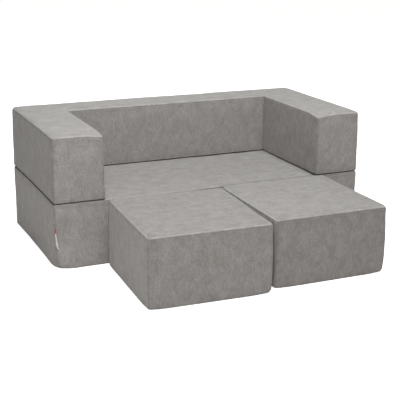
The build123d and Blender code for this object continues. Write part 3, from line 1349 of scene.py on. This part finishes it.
@dataclass
class SideTag:
    """Folded woven label in the base's front left seam: plain white, with a plain red end."""

    corner: tuple[float, float] = (-533.4 * MM, -255 * MM)
    turn_low: float = 277.0
    turn_high: float = 251.0
    start: float = 0.5 * MM
    reach: float = 17 * MM
    bottom: float = 82 * MM
    height: float = 53 * MM
    layer: float = 0.35 * MM
    fold_radius: float = 1.3 * MM
    belly: float = 0.7 * MM
    gap: float = 0.3 * MM
    drop: float = 4 * MM

    def build(self, material: bpy.types.Material) -> bpy.types.Object:
        """Carry the folded section up the label.

        The section runs out from the seam, round the fold and back. At the share s of its reach it lies
        beside the middle by a + (r - a) s^0.6 + g sin(pi s), for the gap a at the seam, the fold's radius r
        and the belly g, with a half circle at the fold. With height it turns about the seam from the low
        turn to the high turn, and its free end hangs lower by d s^1.5, for the drop d.

        Args:
            material: Finish of the tape.

        Returns:
            The label.
        """
        run = np.linspace(0, 1, 14)
        half = self.fold_radius
        beside = self.gap + (half - self.gap) * run ** 0.6 + self.belly * np.sin(np.pi * run)
        out = np.stack([run * self.reach, beside], 1)
        fold_angle = np.linspace(np.pi / 2, -np.pi / 2, 7)[1:-1]
        fold = np.stack([self.reach + half * np.cos(fold_angle), half * np.sin(fold_angle)], 1)
        section = np.concatenate([out, fold, out[::-1] * (1, -1)])
        rows = np.linspace(0, 1, 25)
        v, s = np.meshgrid(rows, np.arange(len(section)), indexing="ij")
        x, y = section[s, 0] + self.start, section[s, 1]
        angle = np.radians(self.turn_low + (self.turn_high - self.turn_low) * v)
        turned = np.stack([
            self.corner[0] + x * np.cos(angle) - y * np.sin(angle),
            self.corner[1] + x * np.sin(angle) + y * np.cos(angle),
            self.bottom + v * self.height - self.drop * ((x - self.start) / self.reach).clip(0) ** 1.5,
        ], -1).reshape(-1, 3)
        quads = grid_quads(len(rows), len(section), is_closed=False)
        piece = make_piece("side_label", turned, quads)
        solid = piece.modifiers.new("layer", "SOLIDIFY")
        solid.thickness = self.layer
        solid.offset = 0
        piece.data.materials.append(material)
        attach(piece, "base")
        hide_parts("side_tag")
        LOG.info("%s: %d faces", piece.name, len(quads))
        return piece


# The studio


@dataclass
class Studio:
    """Pale floor, soft light and the camera at the photograph's place."""

    camera_place: tuple[float, float, float] = (-1.2424, -2.9071, 1.0472)
    heading: float = 24.146
    pitch: float = 16.743
    roll: float = 0.524
    lens: float = 84.87
    ambient: float = 0.19
    top_watts: float = 41.0
    key_watts: float = 37.0
    rear_watts: float = 26.0
    floor_lift: float = 0.83
    floor_half: float = 40.0
    floor_drop: float = 0.4 * MM

    def camera(self) -> None:
        """Set the camera: heading from the rear towards the right, pitch down, and a slight roll."""
        data = bpy.data.cameras.new("camera")
        data.lens, data.sensor_width = self.lens, 36.0
        data.clip_end = 100
        camera = bpy.data.objects.new("camera", data)
        bpy.context.scene.collection.objects.link(camera)
        heading = Matrix.Rotation(-np.radians(self.heading), 4, "Z")
        pitch = Matrix.Rotation(np.radians(90 - self.pitch), 4, "X")
        roll = Matrix.Rotation(np.radians(self.roll), 4, "Z")
        camera.matrix_world = Matrix.Translation(self.camera_place) @ heading @ pitch @ roll
        bpy.context.scene.camera = camera

    def world(self) -> None:
        """Even grey daylight that looks white to the camera and in reflections."""
        world = bpy.data.worlds.new("studio")
        bpy.context.scene.world = world
        world.use_nodes = True
        tree = world.node_tree
        tree.nodes.clear()
        path = add_node(tree, "ShaderNodeLightPath")
        seen = path.outputs["Is Camera Ray"]
        for ray in ("Is Glossy Ray", "Is Transmission Ray"):
            seen = add_node(tree, "ShaderNodeMath", {
                0: seen, 1: path.outputs[ray]}, operation="MAXIMUM").outputs[0]
        light = add_node(tree, "ShaderNodeBackground", {
            "Color": linear("#fdfcfa"), "Strength": self.ambient})
        white = add_node(tree, "ShaderNodeBackground", {"Color": (1, 1, 1, 1), "Strength": 1.0})
        mixed = add_node(tree, "ShaderNodeMixShader", {
            0: seen, 1: light.outputs[0], 2: white.outputs[0]})
        add_node(tree, "ShaderNodeOutputWorld", {"Surface": mixed.outputs[0]})

    def floor(self) -> None:
        """Pale matt floor; a lift that only the camera sees makes it white and keeps the shadow."""
        plan = np.array([[-1, -1], [1, -1], [1, 1], [-1, 1]]) * self.floor_half
        points = np.column_stack([plan, np.full(4, -self.floor_drop)])
        floor = make_piece("floor", points, [[0, 1, 2, 3]], smooth=False)
        material, tree = new_material("pale_floor")
        matt = add_node(tree, "ShaderNodeBsdfDiffuse", {"Color": linear("#f2f1ef")})
        path = add_node(tree, "ShaderNodeLightPath")
        strength = add_node(tree, "ShaderNodeMath", {
            0: path.outputs["Is Camera Ray"], 1: self.floor_lift}, operation="MULTIPLY")
        glow = add_node(tree, "ShaderNodeEmission", {"Strength": strength.outputs[0]})
        both = add_node(tree, "ShaderNodeAddShader", {0: matt.outputs[0], 1: glow.outputs[0]})
        add_node(tree, "ShaderNodeOutputMaterial", {"Surface": both.outputs[0]})
        floor.data.materials.append(material)

    def lamp(self, name: str, place: tuple[float, float, float], target: tuple[float, float, float],
             size: float, watts: float, colour: tuple[float, float, float]) -> None:
        """Hang a square soft lamp at a place, turned to a target.

        Args:
            name: Name of the lamp.
            place: Where it hangs.
            target: What it is turned to.
            size: Its side, in metres.
            watts: Its power.
            colour: Its light, as linear red, green and blue.
        """
        data = bpy.data.lights.new(name, "AREA")
        data.size, data.energy, data.color = size, watts, colour
        lamp = bpy.data.objects.new(name, data)
        bpy.context.scene.collection.objects.link(lamp)
        away = Vector(place) - Vector(target)
        lamp.matrix_world = Matrix.Translation(place) @ away.to_track_quat("Z", "Y").to_matrix().to_4x4()

    def build(self) -> None:
        """Build the whole studio."""
        self.camera()
        self.world()
        self.floor()
        aim = (0, -0.2, 0.2)
        self.lamp("top", (0.0, -0.7, 2.4), aim, size=1.5, watts=self.top_watts, colour=(0.975, 1.0, 1.0))
        self.lamp("key", (-1.0, -2.2, 2.3), aim, size=0.7, watts=self.key_watts, colour=(1.0, 0.97, 0.985))
        self.lamp("rear", (0.6, 3.2, 1.8), aim, size=1.6, watts=self.rear_watts, colour=(1.0, 1.0, 1.0))
        bpy.context.scene.view_settings.view_transform = "Standard"


# Assembly


def block_panels(prefix: str) -> list[str]:
    """Names of the six panels of a plain block's cover."""
    return [f"{prefix}_{side}_panel" for side in ("top", "bottom", "front", "rear", "left", "right")]


def sofa_blocks() -> list[StuffedBlock]:
    """The four blocks, where they stand.

    Returns:
        The base, the U-shaped block and the two ottomans.
    """
    arm_panels = [
        f"{side}_arm_{face}_panel" for side in ("left", "right") for face in ("outer", "front", "inner")]
    # Each block's tone shifts by facing are painted shade.
    blocks = [
        SeatBlock(
            name="base", body="base", width=1067 * MM, depth=510 * MM, height=212 * MM, place=Placement(),
            seed=11, panels=block_panels("base"), cores=["base_core"], zip_prefix="base_zip_",
            crown=1.5 * MM, top_radius=4 * MM, turn_over=5 * MM, corner_radius=4 * MM, foot_radius=30 * MM,
            facing_shade={"top": -0.03}),
        BackBlock(
            name="back", body="back", width=1067 * MM, depth=510 * MM, height=210 * MM,
            place=Placement(z=212.5 * MM), seed=23,
            panels=[f"back{part}_panel" for part in ("_top", "_bottom", "_rear", "rest")] + arm_panels,
            cores=["back_core", "left_arm_core", "right_arm_core"], zip_prefix="back_zip_",
            crown=2.5 * MM, top_radius=11 * MM, bottom_radius=4 * MM, foot_radius=5 * MM,
            facing_shade={"left": -0.06}),
    ]
    for side, place, seed, rear_lift, facing_shade in (
        ("left", Placement(-189 * MM, -472 * MM, 0, -2.5), 37, 3.5 * MM, {"front": -0.09, "top": -0.07}),
        ("right", Placement(203 * MM, -459 * MM, 0, -0.5), 51, 1.5 * MM, {"front": -0.13, "top": -0.04}),
    ):
        prefix = side + "_ottoman"
        blocks.append(StuffedBlock(
            name=prefix, body=prefix, width=380 * MM, depth=384 * MM, height=218 * MM, place=place,
            seed=seed, panels=block_panels(prefix), cores=[prefix + "_core"], zip_prefix=prefix + "_zip_",
            ease=0.0, swell=4 * MM, draw=0.0, crown=2 * MM, top_radius=12 * MM, side_radius=5 * MM,
            foot_radius=14 * MM, rear_lift=rear_lift, facing_shade=facing_shade))
    return blocks


def dress_nodes(names: Iterable[str], material: bpy.types.Material) -> None:
    """Give CAD nodes that keep their shape a material.

    Args:
        names: Names of the nodes.
        material: Their finish.
    """
    for name in names:
        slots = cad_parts[name].data.materials
        slots.clear()
        slots.append(material)
        LOG.info("%s dressed as %s", name, material.name)


def main() -> None:
    """Build the studio and the sofa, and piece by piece."""
    logging.basicConfig(level=logging.INFO, format="%(name)s: %(message)s")
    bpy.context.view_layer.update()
    Studio().build()
    velour = Velour().material()
    foam = CutFoam().material()
    coil = MouldedCoil().material()
    tape = WovenTape("woven_zip_tape", colour="#8d8985", rib="#76726e").material()
    enamel = EnamelledZinc().material()
    label = WovenTape("white_label_tape", colour="#efe9e6", rib="#d8d0cc", end_colour="#c4473a",
                      end_height=126 * MM).material()
    for block in sofa_blocks():
        block.foam(foam)
        block.cover(velour)
        CoilZip(block).coil(coil)
        dress_nodes([block.zip_prefix + "tape"], tape)
        dress_nodes([block.zip_prefix + "slider"], enamel)
    SideTag().build(label)


if __name__ == "__main__":
    main()
